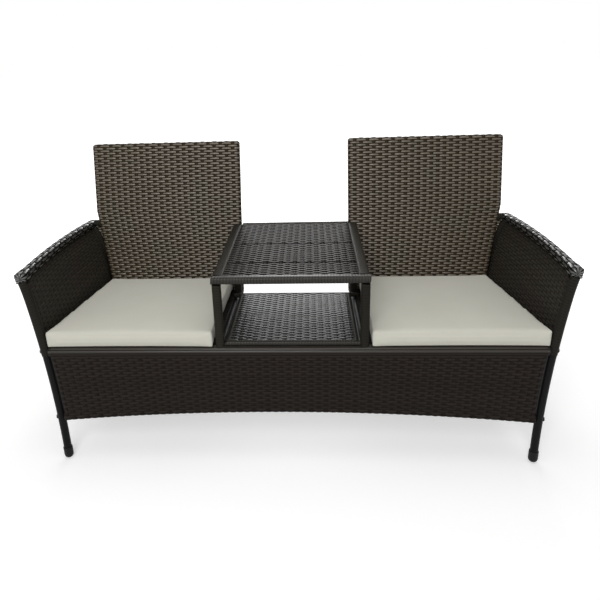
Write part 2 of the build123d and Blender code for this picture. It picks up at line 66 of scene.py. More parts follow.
sofa = {
    "flareZ": 0.060,         # the front leg leaves the upright here
    "rearFlareZ": 0.240,
    "armFrontX": 0.704,
    "armMiddle": (0.706, -0.0940, 0.574),
    "armRear": (0.688, 0.216),
    "armFrontY": -0.2895,
    "rearFootY": 0.28186,
    "rearLean": math.tan(math.radians(8.4)),
    "seatHeight": 0.366,
    "seatSlope": math.tan(math.radians(2.5)),
    "backLean": math.radians(12.0),
    "kneeRise": 0.042,       # the back narrows from here down
    "stileSet": 0.022,       # from the side panel to the stile, at the seat
    "armBow": 0.0102,
    "panelBow": 0.001,
}


def seatZ(y):
    return sofa["seatHeight"] - sofa["seatSlope"] * (y - legY)


def rearLegY(z):
    return sofa["rearFootY"] - sofa["rearLean"] * z


def frontLegX(z):
    rise = np.maximum(0.0, z - sofa["flareZ"])
    out = sofa["armFrontX"] - legX
    radius = ((armZ - sofa["flareZ"]) ** 2 + out**2) / (2 * out)
    return legX + radius - np.sqrt(radius**2 - rise**2)


def rearLegAt(z):
    share = np.maximum(0.0, z - sofa["rearFlareZ"]) / (armZ - sofa["rearFlareZ"])
    return rearLegX + (sofa["armRear"][0] - rearLegX) * share**2


def sideX(y, z):
    share = (y - legY) / (rearLegY(z) - legY)
    return frontLegX(z) + (rearLegAt(z) - frontLegX(z)) * share


backTop = middleOf("right_back_top_rail")
innerLow, innerHigh = boxOf("right_back_inner_stile")
stileRadius = (innerHigh[0] - innerLow[0]) / 2
stileTopX = boxOf("right_back_outer_stile")[1][0] - stileRadius


def backY(z):
    return backTop[1] - (backTop[2] - z) * math.tan(sofa["backLean"])


def stileX(z):
    kneeZ = armZ + sofa["kneeRise"]
    seatX = sideX(backY(sofa["seatHeight"]), sofa["seatHeight"]) - sofa["stileSet"]
    slope = (stileTopX - seatX) / (kneeZ - sofa["seatHeight"])
    return stileTopX - slope * np.maximum(0.0, kneeZ - z)


# Mesh helpers: every woven or wound piece is made of strips
stripSection = (
    (-1.0, 0.0), (-0.72, 0.36), (0.0, 0.5), (0.72, 0.36),
    (1.0, 0.0), (0.72, -0.36), (0.0, -0.5), (-0.72, -0.36),
)
capQuads = ((0, 1, 6, 7), (1, 2, 5, 6), (2, 3, 4, 5))


class StripMesh:
    def __init__(self, seed):
        self.random = np.random.default_rng(seed)
        self.points = []
        self.quads = []
        self.marks = []
        self.count = 0

    # one flat strip along centres, with half-width vectors, normals, lift and thickness; its tone goes into
    # the rise mark, which paints shade where the strip dips
    def addStrip(self, centres, sides, normals, lift, thick, tone):
        steps = len(centres)
        ring = len(stripSection)
        shade = self.random.random()
        along = np.zeros(steps)
        along[1:] = np.cumsum(np.linalg.norm(np.diff(centres, axis=0), axis=1))
        points = np.empty((steps, ring, 3))
        marks = np.empty((steps, ring, 4))
        for k, (across, up) in enumerate(stripSection):
            points[:, k] = centres + across * sides + (lift + up * thick)[:, None] * normals
            marks[:, k, 0] = along
            marks[:, k, 1] = across
            marks[:, k, 2] = shade
            # tone: the painted shade of the strip where it dips under its neighbours
            marks[:, k, 3] = tone
        index = self.count + np.arange(steps * ring).reshape(steps, ring)
        turned = np.roll(index, -1, axis=1)
        walls = np.stack([index[:-1], index[1:], turned[1:], turned[:-1]], axis=-1).reshape(-1, 4)
        first = [[index[0, k] for k in cap] for cap in capQuads]
        last = [[index[-1, k] for k in cap[::-1]] for cap in capQuads]
        self.points.append(points.reshape(-1, 3))
        self.marks.append(marks.reshape(-1, 4))
        self.quads.append(np.vstack([walls, first, last]))
        self.count += steps * ring

    # thin inner sheet that closes the gaps between the strips, all in painted gap shade
    def addSheet(self, surface, patch, half):
        cFirst, cLast, rFirst, rLast = patch
        c = np.linspace(cFirst, cLast, max(2, int(round((cLast - cFirst) * 2)) + 1))
        r = np.linspace(rFirst, rLast, max(2, int(round(rLast - rFirst)) + 1))
        c, r = np.meshgrid(c, r, indexing="ij")
        at, _, _, out = frameOn(surface, c, r)
        index = np.arange(c.size).reshape(c.shape)
        corners = [index[:-1, :-1], index[1:, :-1], index[1:, 1:], index[:-1, 1:]]
        face = np.stack(corners, axis=-1).reshape(-1, 4)
        rim = np.concatenate([index[:-1, 0], index[-1, :-1], index[:0:-1, -1], index[0, :0:-1]])
        after = np.roll(rim, -1)
        walls = np.stack([rim, rim + c.size, after + c.size, after], axis=-1)
        marks = np.zeros((2 * c.size, 4))
        marks[:, 0] = np.tile(c.ravel(), 2)
        # rise -1: the sheet takes the full painted gap shade
        marks[:, 3] = -1.0
        self.points.append(np.vstack([(at + half * out).reshape(-1, 3), (at - half * out).reshape(-1, 3)]))
        self.quads.append(self.count + np.vstack([face, face[:, ::-1] + c.size, walls]))
        self.marks.append(marks)
        self.count += 2 * c.size

    def arrays(self):
        return np.vstack(self.points), np.vstack(self.quads), np.vstack(self.marks)


# One piece on the frame, in the place of the nodes named
def makePiece(name, arrays, material, replaced):
    points, quads, marks = arrays
    mesh = bpy.data.meshes.new(name)
    mesh.vertices.add(len(points))
    mesh.vertices.foreach_set("co", points.astype(np.float32).ravel())
    mesh.loops.add(quads.size)
    mesh.loops.foreach_set("vertex_index", quads.astype(np.int32).ravel())
    mesh.polygons.add(len(quads))
    mesh.polygons.foreach_set("loop_start", np.arange(0, quads.size, 4, dtype=np.int32))
    mesh.polygons.foreach_set("use_smooth", np.ones(len(quads), dtype=bool))
    mesh.update(calc_edges=True)
    strip = mesh.attributes.new("strip", "FLOAT_VECTOR", "POINT")
    strip.data.foreach_set("vector", marks[:, :3].astype(np.float32).ravel())
    # rise mark: how far each point of a strip is painted into shade
    rise = mesh.attributes.new("rise", "FLOAT", "POINT")
    rise.data.foreach_set("value", marks[:, 3].astype(np.float32))
    mesh.materials.append(material)
    piece = bpy.data.objects.new(name, mesh)
    scene.collection.objects.link(piece)
    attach(piece, "frame")
    if replaced:
        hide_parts(*replaced)


# The right piece, and its mirror image on the left
def makePair(name, strips, material, replaced):
    points, quads, marks = strips.arrays()
    makePiece("right_" + name, (points, quads, marks), material, ["right_" + node for node in replaced])
    points = points * np.array([-1.0, 1.0, 1.0])
    quads = quads[:, ::-1]
    marks = marks * np.array([1.0, 1.0, -1.0, 1.0]) + np.array([0.0, 0.0, 1.0, 0.0])
    makePiece("left_" + name, (points, quads, marks), material, ["left_" + node for node in replaced])


def unit(v):
    return v / np.maximum(np.linalg.norm(v, axis=-1, keepdims=True), 1e-12)


def frameOn(surface, c, r):
    small = 0.02
    alongC = (surface(c + small, r) - surface(c - small, r)) / (2 * small)
    alongR = (surface(c, r + small) - surface(c, r - small)) / (2 * small)
    return surface(c, r), alongC, alongR, unit(np.cross(alongC, alongR))


# Plain weave on a surface: wefts along c, warps along r, both over one and under one
def weave(strips, surface, look, rowSpans, columnSpans, patches=(), calm=None):
    def wave(r):
        return np.ones_like(r) if calm is None else calm(r)

    for j, (start, end) in rowSpans:
        steps = max(3, int(round((end - start) * look["weftSteps"])) + 1)
        c = np.linspace(start, end, steps)
        r = np.full(steps, j + 0.5)
        at, alongC, alongR, out = frameOn(surface, c, r)
        live = wave(r)
        rise = live * np.cos(np.pi * (c - 0.5 + j)) + look["calmRise"] * (1 - live)
        # wefts are painted darker where they dip under a warp
        tone = 1 - look["swing"] * (1 - rise)
        strips.addStrip(at, alongR * look["weftWidth"] / 2, out, look["weftLift"] * rise, look["thick"], tone)
    for i, (start, end) in columnSpans:
        steps = max(3, int(round((end - start) * look["warpSteps"])) + 1)
        r = np.linspace(start, end, steps)
        c = np.full(steps, i + 0.5)
        at, alongC, alongR, out = frameOn(surface, c, r)
        live = wave(r)
        rise = -live * np.cos(np.pi * (i + r - 0.5)) - (1 - live)
        lift = look["warpLift"] * rise
        # warps are painted nearly as dark as the gaps, painted shade between the dashes
        strips.addStrip(at, -alongC * look["warpWidth"] / 2, out, lift, look["thick"], look["warpShade"])
    for patch in patches:
        strips.addSheet(surface, patch, look["sheetHalf"])


weaveLook = {
    "row": 0.0080,
    "column": 0.0200,
    "thick": 0.0020,
    "sheetHalf": 0.0002,
    "weftWidth": 0.98,       # share of the row pitch
    "warpWidth": 0.46,       # share of the column pitch
    "weftLift": 0.0010,
    "warpLift": 0.0005,
    "calmRise": 0.6,         # of wefts laid flat
    # warps painted almost into the painted gap shade
    "warpShade": -0.84,
    "swing": 1.0,            # how far a weft is painted into shade where it dips under the warps
    "weftSteps": 4,
    "warpSteps": 2,
}


def spans(first, last, start, end):
    return [(k, (start, end)) for k in range(first, last)]


# Weave over the whole of a surface of rows and columns
def weaveWhole(strips, surface, look, rows, columns):
    rowSpans = spans(0, rows, 0.0, float(columns))
    columnSpans = spans(0, columns, 0.0, float(rows))
    weave(strips, surface, look, rowSpans, columnSpans, [(0.0, columns, 0.0, rows)])


windLook = {"pitch": 0.0078, "width": 1.15, "thick": 0.0010, "cornerSteps": 4, "roundSteps": 16}


# Strip wound round a bar. line gives place, direction and two cross axes at each share of its length.
def wind(strips, line, length, outline, swell=None):
    turns = max(1, int(round(length / windLook["pitch"])))
    places, outwards, shares = outline
    turnIndex = np.arange(turns)[:, None]
    share = ((turnIndex + shares[None, :]) / turns).ravel()
    at, along, crossU, crossV = line(share)
    place = np.tile(places, (turns, 1))
    if swell is not None:
        place = place * swell(share)[:, None]
    outward = np.tile(outwards, (turns, 1))
    centres = at + place[:, :1] * crossU + place[:, 1:] * crossV
    normals = outward[:, :1] * crossU + outward[:, 1:] * crossV
    sides = along * (length / turns) * windLook["width"] / 2
    strips.addStrip(centres, sides, normals, np.zeros(len(centres)), windLook["thick"], 1.0)


# Outlines of bars: places, outward directions and shares of the way round
def roundOutline(radius):
    angle = np.linspace(0, 2 * np.pi, windLook["roundSteps"], endpoint=False)
    outward = np.stack([np.cos(angle), np.sin(angle)], axis=1)
    return outward * radius, outward, angle / (2 * np.pi)


def boxOutline(width, height, corner):
    places, outwards = [], []
    quarter = np.linspace(0, np.pi / 2, windLook["cornerSteps"])
    for k, (sx, sy) in enumerate(((1, 1), (-1, 1), (-1, -1), (1, -1))):
        angle = quarter + k * np.pi / 2
        outward = np.stack([np.cos(angle), np.sin(angle)], axis=1)
        middle = np.array([sx * (width / 2 - corner), sy * (height / 2 - corner)])
        places.append(middle + outward * corner)
        outwards.append(outward)
    places = np.vstack(places)
    run = np.linalg.norm(np.diff(places, axis=0, append=places[:1]), axis=1)
    shares = np.concatenate([[0.0], np.cumsum(run)[:-1]]) / run.sum()
    return places, np.vstack(outwards), shares


# Straight bar from start to end; crossU points as given
def straightLine(start, end, crossU):
    start = np.array(start, float)
    end = np.array(end, float)
    along = unit(end - start)
    crossU = np.array(crossU, float)
    crossV = np.cross(crossU, along)

    def line(share):
        one = np.ones((len(share), 1))
        return start + share[:, None] * (end - start), one * along, one * crossU, one * crossV

    return line, float(np.linalg.norm(end - start))


# Curved bar through place(t), t from 0 to 1
def curvedLine(place, crossHint):
    grid = np.linspace(0, 1, 200)
    small = 0.002
    run = np.concatenate([[0.0], np.cumsum(np.linalg.norm(np.diff(place(grid), axis=0), axis=1))])

    def line(share):
        t = np.interp(share * run[-1], run, grid)
        along = unit(place(t + small) - place(t - small))
        crossU = unit(np.cross(along, np.array(crossHint)))
        return place(t), along, crossU, np.cross(crossU, along)

    return line, float(run[-1])


# Circle through three points, as a function of a share from the first to the last
def arcThrough(a, b, c):
    a, b, c = (np.array(p, float) for p in (a, b, c))
    normal = unit(np.cross(b - a, c - a))
    chords = np.array([b - a, c - a, normal])
    centre = a + np.linalg.solve(chords, np.array([(b - a) @ (b - a) / 2, (c - a) @ (c - a) / 2, 0.0]))
    radius = np.linalg.norm(a - centre)
    axisU = (a - centre) / radius
    axisV = np.cross(normal, axisU)
    end = math.atan2((c - centre) @ axisV, (c - centre) @ axisU) % (2 * np.pi)

    def place(t):
        angle = t * end
        return centre + radius * (np.cos(angle)[..., None] * axisU + np.sin(angle)[..., None] * axisV)

    return place


# Node groups shared by the materials. An input is a colour if it starts as a tuple.
def newGroup(name, inputs, outputs):
    group = bpy.data.node_groups.new(name, "ShaderNodeTree")
    for label, value in inputs.items():
        kind = "NodeSocketColor" if isinstance(value, tuple) else "NodeSocketFloat"
        socket = group.interface.new_socket(label, in_out="INPUT", socket_type=kind)
        socket.default_value = value
    for label in outputs:
        kind = "NodeSocketColor" if label == "Color" else "NodeSocketFloat"
        group.interface.new_socket(label, in_out="OUTPUT", socket_type=kind)
    return group, group.nodes.new("NodeGroupInput"), group.nodes.new("NodeGroupOutput")


def addNode(tree, kind, **settings):
    node = tree.nodes.new(kind)
    for key, value in settings.items():
        setattr(node, key, value)
    return node


def setInputs(node, values):
    for key, value in values.items():
        node.inputs[key].default_value = value


# A socket takes a constant or the output of another node
def feed(tree, socket, value):
    if isinstance(value, (int, float, tuple)):
        socket.default_value = value
    else:
        tree.links.new(value, socket)


def mathNode(tree, operation, *values):
    node = addNode(tree, "ShaderNodeMath", operation=operation)
    for socket, value in zip(node.inputs, values):
        feed(tree, socket, value)
    return node.outputs[0]


def noiseNode(tree, vector, scale, detail, roughness):
    node = addNode(tree, "ShaderNodeTexNoise")
    setInputs(node, {"Detail": detail, "Roughness": roughness})
    tree.links.new(vector, node.inputs["Vector"])
    feed(tree, node.inputs["Scale"], scale)
    return node.outputs["Fac"]


def rampNode(tree, value, low, high, first, last):
    node = addNode(tree, "ShaderNodeMapRange", interpolation_type="SMOOTHSTEP")
    setInputs(node, {"From Min": low, "From Max": high, "To Min": first, "To Max": last})
    tree.links.new(value, node.inputs["Value"])
    return node.outputs[0]


def mixColour(tree, factor, first, second):
    node = addNode(tree, "ShaderNodeMix", data_type="RGBA")
    for index, value in ((0, factor), (6, first), (7, second)):
        feed(tree, node.inputs[index], value)
    return node.outputs[2]


# Tone of one rattan strip: its own shade, streaks along it, patches over the whole piece,
# and painted shade where it dips under its neighbours, towards its lower edge and at its upper rim
toneLook = {
    "streaks": (22.0, 5.5, 90.0),    # scale along, across and from strip to strip
    "streakShare": 0.55,
    "shadeShare": 0.45,
    "patchScale": 7.0,
    "patchRamp": (0.42, 0.66, 0.0, 1.0),     # ramps: from and to, value at each end
    "dipShadeRamp": (-0.95, -0.30, 0.0, 1.0),
    "lowerEdgeShadeRamp": (-0.85, 0.1, 0.0, 1.0),
    "upperEdgeShadeRamp": (0.75, 1.0, 1.0, 0.3),
}


def buildStripTone():
    group, start, end = newGroup(
        "stripTone",
        {
            "Dark": (0.010, 0.008, 0.006, 1),
            "Light": (0.040, 0.030, 0.022, 1),
            "Patch": (0.030, 0.028, 0.016, 1),
            "Gap Shade": (0.008, 0.006, 0.005, 1),
            "Patch Amount": 0.4,
            "Painted Shade": 1.0,
            "Roughness": 0.36,
            "Roughness Spread": 0.16,
            "Gloss": 0.3,
        },
        ("Color", "Roughness", "Gloss", "Height"),
    )
    link = group.links.new
    strip = addNode(group, "ShaderNodeAttribute", attribute_name="strip")
    rise = addNode(group, "ShaderNodeAttribute", attribute_name="rise")
    parts = addNode(group, "ShaderNodeSeparateXYZ")
    link(strip.outputs["Vector"], parts.inputs[0])
    place = addNode(group, "ShaderNodeCombineXYZ")
    for axis, scale in enumerate(toneLook["streaks"]):
        link(mathNode(group, "MULTIPLY", parts.outputs[axis], scale), place.inputs[axis])
    streak = noiseNode(group, place.outputs[0], 1.0, 3.0, 0.6)
    ownShade = mathNode(group, "MULTIPLY", parts.outputs[2], toneLook["shadeShare"])
    shade = mathNode(group, "MULTIPLY_ADD", streak, toneLook["streakShare"], ownShade)
    where = addNode(group, "ShaderNodeTexCoord")
    patch = noiseNode(group, where.outputs["Object"], toneLook["patchScale"], 2.0, 0.5)
    patchMask = rampNode(group, patch, *toneLook["patchRamp"])
    patchShare = mathNode(group, "MULTIPLY", patchMask, start.outputs["Patch Amount"])
    # painted shade: dark where the strip dips under its neighbours, on its lower half and at its upper rim
    over = rampNode(group, rise.outputs["Fac"], *toneLook["dipShadeRamp"])
    lowerEdgeShade = rampNode(group, parts.outputs[1], *toneLook["lowerEdgeShadeRamp"])
    upperEdgeShade = rampNode(group, parts.outputs[1], *toneLook["upperEdgeShadeRamp"])
    litShare = mathNode(group, "MULTIPLY", over, mathNode(group, "MULTIPLY", lowerEdgeShade, upperEdgeShade))
    # how much painted shade the strip takes, mixed towards the painted gap shade colour
    paintedShade = mathNode(group, "MULTIPLY", mathNode(group, "SUBTRACT", 1.0, litShare), start.outputs["Painted Shade"])
    shown = mathNode(group, "SUBTRACT", 1.0, paintedShade)
    colour = mixColour(group, shade, start.outputs["Dark"], start.outputs["Light"])
    colour = mixColour(group, patchShare, colour, start.outputs["Patch"])
    link(mixColour(group, shown, start.outputs["Gap Shade"], colour), end.inputs["Color"])
    spread = mathNode(group, "SUBTRACT", streak, 0.5)
    spread = mathNode(group, "MULTIPLY", spread, start.outputs["Roughness Spread"])
    link(mathNode(group, "ADD", spread, start.outputs["Roughness"]), end.inputs["Roughness"])
    # the painted shade takes gloss away too, a painted loss of reflection
    link(mathNode(group, "MULTIPLY", shown, start.outputs["Gloss"]), end.inputs["Gloss"])
    link(streak, end.inputs["Height"])
    return group


# Fine grain of coated metal and moulded plastic
def buildGrain():
    group, start, end = newGroup(
        "surfaceGrain",
        {
            "Color": (0.02, 0.02, 0.02, 1),
            "Wear Color": (0.05, 0.05, 0.05, 1),
            "Scale": 900.0,
            "Roughness": 0.4,
        },
        ("Color", "Roughness", "Height"),
    )
    link = group.links.new
    where = addNode(group, "ShaderNodeTexCoord")
    fine = noiseNode(group, where.outputs["Object"], start.outputs["Scale"], 2.0, 0.5)
    broad = noiseNode(group, where.outputs["Object"], 18.0, 4.0, 0.65)
    wear = addNode(group, "ShaderNodeMapRange")
    setInputs(wear, {"From Min": 0.52, "From Max": 0.78, "To Max": 0.5})
    link(broad, wear.inputs["Value"])
    colour = mixColour(group, wear.outputs[0], start.outputs["Color"], start.outputs["Wear Color"])
    link(colour, end.inputs["Color"])
    swing = mathNode(group, "SUBTRACT", broad, 0.5)
    link(mathNode(group, "MULTIPLY_ADD", swing, 0.3, start.outputs["Roughness"]), end.inputs["Roughness"])
    link(fine, end.inputs["Height"])
    return group


# Woven polyester: threads both ways on every face, with a soft unevenness
def buildCloth():
    group, start, end = newGroup(
        "clothThreads",
        {"Color": (0.6, 0.58, 0.5, 1), "Shade": (0.5, 0.48, 0.4, 1), "Threads": 1400.0},
        ("Color", "Height"),
    )
    link = group.links.new
    where = addNode(group, "ShaderNodeTexCoord")
    parts = addNode(group, "ShaderNodeSeparateXYZ")
    link(where.outputs["Object"], parts.inputs[0])
    waves = []
    for axis in range(3):
        turn = mathNode(group, "MULTIPLY", parts.outputs[axis], start.outputs["Threads"])
        waves.append(mathNode(group, "SINE", turn))
    sheet = mathNode(group, "MULTIPLY", waves[0], waves[1])
    edge = mathNode(group, "MULTIPLY", waves[2], mathNode(group, "ADD", waves[0], waves[1]))
    thread = mathNode(group, "ADD", sheet, edge)
    soft = noiseNode(group, where.outputs["Object"], 9.0, 3.0, 0.55)
    share = mathNode(group, "MULTIPLY_ADD", thread, 0.12, mathNode(group, "MULTIPLY", soft, 0.7))
    link(mixColour(group, share, start.outputs["Color"], start.outputs["Shade"]), end.inputs["Color"])
    link(thread, end.inputs["Height"])
    return group


stripTone = buildStripTone()
surfaceGrain = buildGrain()
clothThreads = buildCloth()


def newMaterial(name, group, groupInputs, outputs, shader, bump):
    material = bpy.data.materials.new(name)
    material.use_nodes = True
    tree = material.node_tree
    surface = tree.nodes["Principled BSDF"]
    setInputs(surface, shader)
    effect = addNode(tree, "ShaderNodeGroup", node_tree=group)
    setInputs(effect, groupInputs)
    for source, target in outputs:
        tree.links.new(effect.outputs[source], surface.inputs[target])
    reliefAndShade = addNode(tree, "ShaderNodeBump")
    setInputs(reliefAndShade, bump)
    tree.links.new(effect.outputs["Height"], reliefAndShade.inputs["Height"])
    tree.links.new(reliefAndShade.outputs["Normal"], surface.inputs["Normal"])
    return material


toneOutputs = (("Color", "Base Color"), ("Roughness", "Roughness"))


def newRattan(name, tones, reliefAndShade, roughness, gloss):
    values = {key: (*tone, 1) for key, tone in zip(("Dark", "Light", "Patch", "Gap Shade"), tones)}
    return newMaterial(
        name, stripTone,
        {**values, "Painted Shade": reliefAndShade, "Roughness": roughness, "Gloss": gloss},
        toneOutputs + (("Gloss", "Specular IOR Level"),), {}, {"Strength": 0.25, "Distance": 0.0006},
    )


# dark, light and patch tones of the strips, then the painted shade in the gaps between them; the rattan is
# one throughout, and its tones change from part to part to paint how each part is lit
rattanTones = {
    "body": ((0.009, 0.0066, 0.0055), (0.022, 0.0155, 0.012), (0.015, 0.0122, 0.0085), (0.007, 0.005, 0.004)),
    "panel": ((0.017, 0.015, 0.012), (0.044, 0.038, 0.030), (0.030, 0.030, 0.020), (0.012, 0.010, 0.008)),
    "back": ((0.086, 0.066, 0.046), (0.164, 0.134, 0.098), (0.110, 0.102, 0.066), (0.026, 0.019, 0.012)),
    "deck": ((0.038, 0.034, 0.031), (0.072, 0.066, 0.061), (0.052, 0.050, 0.042), (0.010, 0.009, 0.008)),
    "shelf": ((0.072, 0.072, 0.072), (0.124, 0.124, 0.124), (0.098, 0.100, 0.094), (0.012, 0.012, 0.011)),
    "rail": ((0.014, 0.011, 0.008), (0.036, 0.029, 0.021), (0.026, 0.024, 0.015), (0.008, 0.006, 0.004)),
    "bar": ((0.011, 0.010, 0.008), (0.028, 0.025, 0.020), (0.021, 0.020, 0.013), (0.007, 0.006, 0.005)),
    "sleeve": ((0.030, 0.029, 0.028), (0.090, 0.088, 0.085), (0.050, 0.050, 0.044), (0.004, 0.004, 0.003)),
}
rattan = newRattan("darkRattan", rattanTones["body"], 0.5, 0.50, 0.12)
# arm side panels: tones lighter than the body, a lit copy of the same rattan
panelRattan = newRattan("panelRattan", rattanTones["panel"], 0.6, 0.50, 0.12)
# backs: lighter, browner tones, a painted sheen of the front lamp
backRattan = newRattan("paintedSheenBackRattan", rattanTones["back"], 1.0, 0.30, 0.45)
# table field: lighter grey tones, a painted reflection of the white surroundings
deckRattan = newRattan("paintedReflectionDeckRattan", rattanTones["deck"], 1.0, 0.40, 0.08)
# shelf: lighter grey tones, a painted reflection of the white surroundings
paintedReflectionShelfRattan = newRattan("paintedReflectionShelfRattan", rattanTones["shelf"], 1.0, 0.28, 0.60)
barRattan = newRattan("barRattan", rattanTones["bar"], 0.35, 0.46, 0.05)
edgeRattan = newRattan("edgeRattan", rattanTones["bar"], 0.4, 0.32, 0.22)
# seat front rail: lighter tones, a painted highlight along its top
railRattan = newRattan("railRattan", rattanTones["rail"], 0.4, 0.32, 0.40)
# arm sleeves: light grey tones, painted highlights on the arm tops
sleeveRattan = newRattan("paintedHighlightSleeveRattan", rattanTones["sleeve"], 1.0, 0.20, 1.0)
frameSteel = newMaterial(
    "coatedSteel", surfaceGrain,
    {"Color": (0.0045, 0.0045, 0.005, 1), "Wear Color": (0.009, 0.0085, 0.008, 1), "Roughness": 0.45},
    toneOutputs, {"Specular IOR Level": 0.10}, {"Strength": 0.12, "Distance": 0.0004},
)
footPlastic = newMaterial(
    "footPlastic", surfaceGrain,
    {
        "Color": (0.008, 0.008, 0.0085, 1), "Wear Color": (0.018, 0.018, 0.018, 1),
        "Scale": 1500.0, "Roughness": 0.5,
    },
    toneOutputs, {"Specular IOR Level": 0.15}, {"Strength": 0.2, "Distance": 0.0004},
)
boltSteel = newMaterial(
    "zincSteel", surfaceGrain,
    {"Color": (0.42, 0.41, 0.39, 1), "Wear Color": (0.25, 0.23, 0.20, 1), "Scale": 700.0, "Roughness": 0.35},
    toneOutputs, {"Metallic": 1.0}, {"Strength": 0.1, "Distance": 0.0003},
)
cushionCloth = newMaterial(
    "creamPolyester", clothThreads,
    {"Color": (0.62, 0.61, 0.53, 1), "Shade": (0.54, 0.53, 0.455, 1), "Threads": 2600.0},
    (("Color", "Base Color"),),
    {"Roughness": 0.86, "Specular IOR Level": 0.2, "Sheen Weight": 0.15, "Sheen Roughness": 0.5},
    {"Strength": 0.2, "Distance": 0.0004},
)
print("materials made")


# Backs: one sheet drawn round the stiles and the top and bottom rails
backLook = {
    "radius": 0.0116,
    "sideTurn": 230.0,       # turns in degrees
    "topTurn": 190.0,
    "bottomTurn": 150.0,
    "cornerTurn": 75.0,
    "seed": 11,
}


def makeBacks():
    lean = sofa["backLean"]
    up = np.array([0.0, math.sin(lean), math.cos(lean)])
    out = np.array([0.0, -math.cos(lean), math.sin(lean)])
    innerX = (innerLow[0] + innerHigh[0]) / 2
    origin = np.array([0.0, backTop[1], backTop[2]])
    height = (backTop[2] - middleOf("right_back_bottom_rail")[2]) / math.cos(lean)
    radius = backLook["radius"]
    columns = int(round((stileTopX - innerX) / weaveLook["column"]))
    rows = int(round(height / weaveLook["row"]))
    rowPitch = height / rows
    columnPitch = (stileTopX - innerX) / columns

    def surface(c, r):
        flat = np.clip(c, 0, columns) / columns
        v = -height + np.clip(r, 0, rows) * rowPitch
        right = stileX(backTop[2] + v * math.cos(lean))
        x = innerX + flat * (right - innerX)
        sideTurn = (c - np.clip(c, 0, columns)) * columnPitch / radius
        endTurn = (r - np.clip(r, 0, rows)) * rowPitch / radius
        sx = np.sin(sideTurn) * radius
        sv = np.sin(endTurn) * np.cos(sideTurn) * radius
        sn = np.cos(endTurn) * np.cos(sideTurn) * radius
        return (
            origin + (x + sx)[..., None] * np.array([1.0, 0.0, 0.0])
            + (v + sv)[..., None] * up + sn[..., None] * out
        )

    sideColumns = math.radians(backLook["sideTurn"]) * radius / columnPitch
    topRows = math.radians(backLook["topTurn"]) * radius / rowPitch
    bottomRows = math.radians(backLook["bottomTurn"]) * radius / rowPitch
    corner = math.radians(backLook["cornerTurn"]) * radius / columnPitch
    strips = StripMesh(backLook["seed"])
    rowSpans = spans(0, rows, -sideColumns, columns + sideColumns)
    rowSpans += spans(-int(bottomRows), 0, -corner, columns + corner)
    rowSpans += spans(rows, rows + int(topRows), -corner, columns + corner)
    columnSpans = spans(0, columns, -bottomRows, rows + topRows)
    for i in range(1, int(sideColumns) + 1):
        columnSpans += [(-i, (0.0, float(rows))), (columns + i - 1, (0.0, float(rows)))]
    patches = [
        (-sideColumns, columns + sideColumns, 0.0, rows),
        (-corner, columns + corner, -bottomRows, 0.0),
        (-corner, columns + corner, rows, rows + topRows),
    ]
    weave(strips, surface, weaveLook, rowSpans, columnSpans, patches)
    makePair("back_woven", strips, backRattan, ["back_weave"])


makeBacks()
print("backs woven")


# Arms: side panel, sleeve on the arm rail, wound legs above the seat
armLook = {
    "sleeveRadius": 0.0134,
    "sleeveRows": 10,
    "endRound": (0.005, 0.011),    # front, rear
    "squareRun": 0.060,            # the section turns square towards the front corner
    "squareness": 4.0,
    "panelLow": 0.139,
    # the side panel's wefts take less painted shade in their dips
    "panelWeave": {"weftLift": 0.0004, "warpLift": 0.0002, "swing": 0.55},
    "panelEdge": 0.9,              # of the tube's radius, kept free of wefts
    "countZ": 0.35,                # columns are counted at this height
    "tuck": 0.004,
    "legWrap": 0.0118,
    "legSwell": 0.14,
    "legWrapLow": 0.338,
    "bridgeRadius": 0.0122,
    "bridgeStart": 0.003,
    "laceColumns": 2,
    "laceWidth": 0.86,
    "seed": 23,
}


